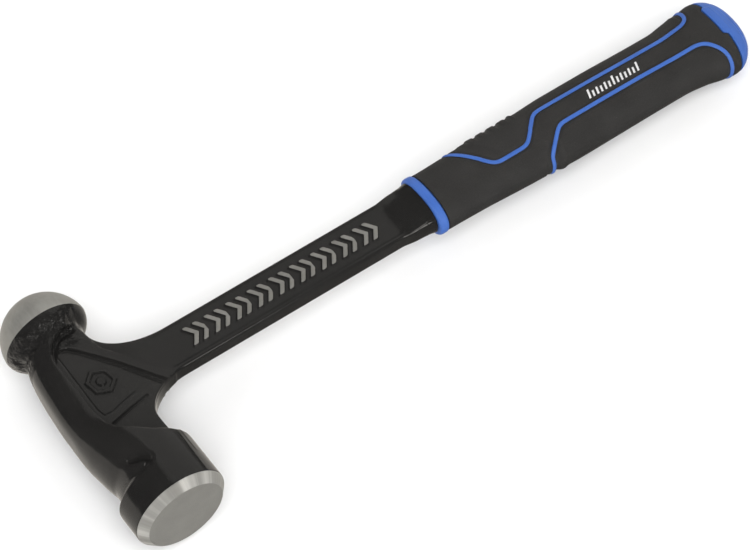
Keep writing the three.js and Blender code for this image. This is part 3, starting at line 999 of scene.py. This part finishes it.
def ground_steel(name, lines, tone_low, tone_high):
    """lines is the stretch of the grinding marks along X, Y and Z."""
    n = Nodes(name)
    marks = n.noise(1.0, 5, n.stretched(lines), 0.6)
    blotch = n.noise(90, 4)
    tone = n.maths("ADD", n.maths("MULTIPLY", marks, 0.5), n.maths("MULTIPLY", blotch, 0.5))
    colour = n.ramp(tone, [(0.3, tone_low), (0.7, tone_high)])
    rough = n.span(marks, 0.3, 0.7, 0.42, 0.56)
    scratches = n.bump(marks, 0.00003, 0.7)
    return n.set(Base_Color=colour, Metallic=0.6, Roughness=rough, Normal=scratches)


def turned_steel():
    """The striking face: fine turned lines around the head's axis on the bevel, satin on the flat, and
    painted highlight streaks around the bevel.
    """
    n = Nodes("turned_steel")
    split = n.add("ShaderNodeSeparateXYZ", {"Vector": n.place})
    x, z = split.outputs["X"], split.outputs["Z"]
    radius = n.maths("SQRT", n.maths("ADD", n.maths("POWER", x, 2.0), n.maths("POWER", z, 2.0)))
    rings = n.line_noise(radius, 5200, 3)
    satin = n.noise(1800, 4)
    blotch = n.noise(120, 4)
    on_bevel = n.span(radius, (FACE_RADIUS - 0.15) * MM, (FACE_RADIUS + 0.05) * MM, 0.0, 1.0)
    flat_tone = n.maths("ADD", n.maths("MULTIPLY", satin, 0.4), n.maths("MULTIPLY", blotch, 0.6))
    tone = n.maths("ADD", n.maths("MULTIPLY", flat_tone, 0.7), n.maths("MULTIPLY", rings, 0.3))
    flat = n.ramp(tone, [(0.3, (0.235, 0.23, 0.212)), (0.7, (0.315, 0.308, 0.285))])
    # Painted highlight: the bevel's colour is lightened in streaks around the head's axis, standing in for
    # the reflections that the turned bevel catches.
    painted_highlight_streak = n.line_noise(n.maths("ARCTAN2", x, z), 2.4, 4)
    bright = n.ramp(painted_highlight_streak, [
        (0.35, (0.26, 0.255, 0.236)),
        (0.5, (0.37, 0.362, 0.337)),
        (0.7, (0.62, 0.61, 0.575)),
    ])
    colour = n.blend(on_bevel, flat, bright)
    rough = n.span(on_bevel, 0, 1, 0.46, 0.3)
    fine = n.bump(satin, 0.00003, 0.6)
    lines = n.bump(rings, 0.00002, 0.6, fine)
    turned = n.add("ShaderNodeTangent", direction_type="RADIAL", axis="Y").outputs["Tangent"]
    drawn = n.span(on_bevel, 0, 1, 0.3, 0.85)
    return n.set(
        Base_Color=colour, Metallic=0.5, Roughness=rough, Normal=lines, Anisotropic=drawn, Tangent=turned
    )


def black_rubber():
    n = Nodes("black_rubber")
    cloud = n.noise(70, 4)
    grain = n.noise(2400, 3)
    dust = n.ramp(n.noise(1500, 2), [(0.70, (0, 0, 0)), (0.78, (1, 1, 1))])
    base = n.ramp(cloud, [(0.3, (0.0175, 0.0166, 0.0158)), (0.75, (0.0235, 0.0224, 0.0214))])
    colour = n.blend(dust, base, (0.05, 0.048, 0.045, 1))
    rough = n.span(grain, 0.3, 0.7, 0.62, 0.8)
    soft = n.bump(n.noise(160, 2), 0.0002, 0.25)
    skin = n.bump(grain, 0.00006, 0.7, soft)
    return n.set(Base_Color=colour, Roughness=rough, Normal=skin)


def blue_plastic():
    n = Nodes("blue_plastic")
    cloud = n.noise(90, 4)
    grain = n.noise(3000, 3)
    colour = n.ramp(cloud, [(0.3, (0.029, 0.092, 0.34)), (0.75, (0.037, 0.112, 0.39))])
    rough = n.span(grain, 0.3, 0.7, 0.42, 0.56)
    skin = n.bump(grain, 0.00003, 0.5)
    return n.set(Base_Color=colour, Roughness=rough, Normal=skin)


def pale_ink():
    n = Nodes("pale_ink")
    speckle = n.noise(2600, 3)
    colour = n.ramp(speckle, [(0.35, (0.42, 0.42, 0.42)), (0.6, (0.62, 0.62, 0.62))])
    rough = n.span(speckle, 0.3, 0.7, 0.45, 0.65)
    return n.set(Base_Color=colour, Roughness=rough, Normal=n.bump(speckle, 0.00003, 0.5))


# ---- Stage ----
# Direction, half angle in degrees, softness of the edge in degrees, brightness
PANEL = ((0.593, 0.52, 0.56), 40, 5, 0.36)
SOFTBOX = ((0.2, -0.75, 0.62), 8, 2, 3.0)
LOW_SOFTBOX = ((0.16, -0.93, 0.26), 9, 2, 5.0)
WARMTH = (1.0, 0.97, 0.925)  # tint of what the lacquer mirrors
# Four side lamps: direction and power in watts
TENT = {
    "left": ((-1, 0.2, 0.75), 3),
    "right": ((1, -0.2, 0.75), 8),
    "back": ((0.2, 1, 0.75), 9),
    "front": ((-0.2, -1, 0.75), 6),
}


FLOOR_GAP = 0.15  # keeps the poll's round side from poking through the floor
LAMP_AIM = (0.14, 0.06, 0)  # middle of the hammer, in metres


def pale_tone(n, scale):
    return n.ramp(n.noise(scale, 3), [(0.2, (0.80, 0.80, 0.80)), (0.8, (0.83, 0.83, 0.83))])


def build_floor():
    """A pale floor under the hammer where it lies: on the poll's rim, the ball and the butt cap."""
    poll_z = -POLL_RADIUS - FLOOR_GAP
    rise_y = (POLL_RADIUS - BALL_RADIUS) / (BALL_Y - POLL_REAR_Y)
    at_eye = poll_z - POLL_REAR_Y * rise_y
    butt_x, butt_z = 324.0, -13.35
    rise_x = (butt_z - at_eye) / butt_x
    size = 6000.0
    corners = [(-size, -size), (size, -size), (size, size), (-size, size)]
    points = [(x, y, at_eye + rise_x * x + rise_y * y) for x, y in corners]
    mesh = mesh_of("floor", points, [(0, 1, 2, 3)])
    n = Nodes("floor")
    mesh.materials.append(n.set(Base_Color=pale_tone(n, 30), Roughness=0.75))
    floor = new_object("floor", mesh)
    # The lacquer mirrors the studio instead, as if the floor were lit in patches
    floor.visible_glossy = False


def build_backdrop():
    """A pale wall all round that fills the shadows. The lacquer doesn't mirror it."""
    radius, bottom, top, steps = 5000.0, -400.0, 4000.0, 64
    angles = [2 * math.pi * i / steps for i in range(steps)]
    ring = [(radius * math.cos(a), radius * math.sin(a)) for a in angles]
    points = [(x, y, bottom) for x, y in ring] + [(x, y, top) for x, y in ring]
    faces = [(i, i + steps, (i + 1) % steps + steps, (i + 1) % steps) for i in range(steps)]
    mesh = mesh_of("backdrop", points, faces)
    n = Nodes("backdrop")
    tone = pale_tone(n, 2)
    mesh.materials.append(n.set(Base_Color=tone, Roughness=0.9, Emission_Color=tone, Emission_Strength=1.0))
    wall = new_object("backdrop", mesh)
    wall.visible_glossy = False
    wall.visible_shadow = False


def build_world():
    """What the lacquer mirrors: a dim room with a panel over the back right and two softboxes in front.

    Below is a pale surface, bright behind the hammer, dim in front of it and dark at its far edge.
    """
    world = bpy.data.worlds.new("studio")
    bpy.context.scene.world = world
    world.use_nodes = True
    tree = world.node_tree
    background = tree.nodes["Background"]
    direction = tree.nodes.new("ShaderNodeTexCoord").outputs["Generated"]
    split = tree.nodes.new("ShaderNodeSeparateXYZ")
    tree.links.new(direction, split.inputs["Vector"])
    height = zero_to_one(tree, split.outputs["Z"])
    depth = zero_to_one(tree, split.outputs["Y"])
    below = world_ramp(tree, height, [(0.0, 1.0), (0.42, 1.0), (0.47, 0.14), (0.53, 0.04)])
    behind = world_ramp(tree, depth, [(0.0, 0.1), (0.35, 0.16), (0.62, 0.62), (1.0, 0.75)])
    level = world_mix(tree, "MULTIPLY", below, behind)
    for light in (PANEL, SOFTBOX, LOW_SOFTBOX):
        level = world_mix(tree, "ADD", level, world_glow(tree, direction, *light))
    tree.links.new(level, background.inputs["Color"])
    background.inputs["Strength"].default_value = 1.0


def zero_to_one(tree, value):
    """Brings one part of a direction from its range of -1 to 1 to a ramp's 0 to 1."""
    node = tree.nodes.new("ShaderNodeMapRange")
    node.inputs["From Min"].default_value = -1
    tree.links.new(value, node.inputs["Value"])
    return node.outputs["Result"]


def world_glow(tree, direction, aim, half_angle, softness, brightness):
    """A round patch of light in the sky."""
    toward = tree.nodes.new("ShaderNodeVectorMath")
    toward.operation = "DOT_PRODUCT"
    toward.inputs[1].default_value = Vector(aim).normalized()
    tree.links.new(direction, toward.inputs[0])
    edge = math.cos(math.radians(half_angle))
    inner = math.cos(math.radians(half_angle - softness))
    stops = [(0.0, 0.0), (edge, 0.0), (inner, brightness), (1.0, brightness)]
    return world_ramp(tree, toward.outputs["Value"], stops)


def world_mix(tree, blend, a, b):
    mix = tree.nodes.new("ShaderNodeMix")
    mix.data_type = "RGBA"
    mix.blend_type = blend
    mix.clamp_result = False
    mix.inputs["Factor"].default_value = 1.0
    tree.links.new(a, mix.inputs[6])
    tree.links.new(b, mix.inputs[7])
    return mix.outputs[2]


def world_ramp(tree, value, stops):
    ramp = tree.nodes.new("ShaderNodeValToRGB")
    elements = ramp.color_ramp.elements
    for i, (at, level) in enumerate(stops):
        element = elements[i] if i < 2 else elements.new(at)
        element.position = at
        element.color = (*(level * tint for tint in WARMTH), 1)
    tree.links.new(value, ramp.inputs["Fac"])
    return ramp.outputs["Color"]


def build_lamp(name, direction, distance, size, power):
    """A big soft light that mirror-like surfaces don't show."""
    lamp = bpy.data.lights.new(name, "AREA")
    lamp.shape = "DISK"
    lamp.size = size
    lamp.energy = power
    holder = new_object(name, lamp)
    away = Vector(direction).normalized()
    holder.location = Vector(LAMP_AIM) + away * distance
    holder.rotation_euler = away.to_track_quat("Z", "Y").to_euler()
    holder.visible_glossy = False


def build_camera():
    """The viewing angle and place of the reference view, in the eye frame."""
    place = (-315.2, -636.2, 1107.1)
    azimuth, elevation = math.radians(-35.66), math.radians(55.46)
    level = math.cos(elevation)
    back = Vector((math.sin(azimuth) * level, -math.cos(azimuth) * level, math.sin(elevation)))
    right = Vector((math.cos(azimuth), math.sin(azimuth), 0))
    up = back.cross(right)
    camera = bpy.data.cameras.new("camera")
    camera.sensor_width = 36
    camera.lens = 153.6
    camera.clip_end = 100
    holder = new_object("camera", camera)
    turn = Matrix((right, up, back)).transposed().to_4x4()
    turn.translation = Vector(to_scene(place).tolist())
    holder.matrix_world = turn
    bpy.context.scene.camera = holder


# ---- Assembly ----
rubber = black_rubber()
blue = blue_plastic()
ground = {
    "ball_peen": ground_steel("ground_ball", (700, 90, 700), (0.26, 0.254, 0.234), (0.39, 0.382, 0.355)),
    "striking_face": turned_steel(),
    "shaft_marks": ground_steel("ground_marks", (120, 2400, 400), (0.22, 0.214, 0.197), (0.33, 0.322, 0.3)),
}
build_forging(black_lacquer(), ground)
build_rubber(rubber)
build_piping("back_piping", BACK_LINE, blue)
build_piping("finger_piping", FINGER_LINE, blue)
build_ring(blue)
build_cap(blue)
build_print(pale_ink())

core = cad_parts["grip_core"]
core.data.materials.clear()
core.data.materials.append(blue)

build_floor()
build_backdrop()
build_world()
build_lamp("key", direction=(-0.3, -0.42, 0.85), distance=2.0, size=1.8, power=34)
for side, (direction, power) in TENT.items():
    build_lamp("tent_" + side, direction, distance=2.0, size=2.2, power=power)
build_camera()
bpy.context.scene.view_settings.view_transform = "Standard"
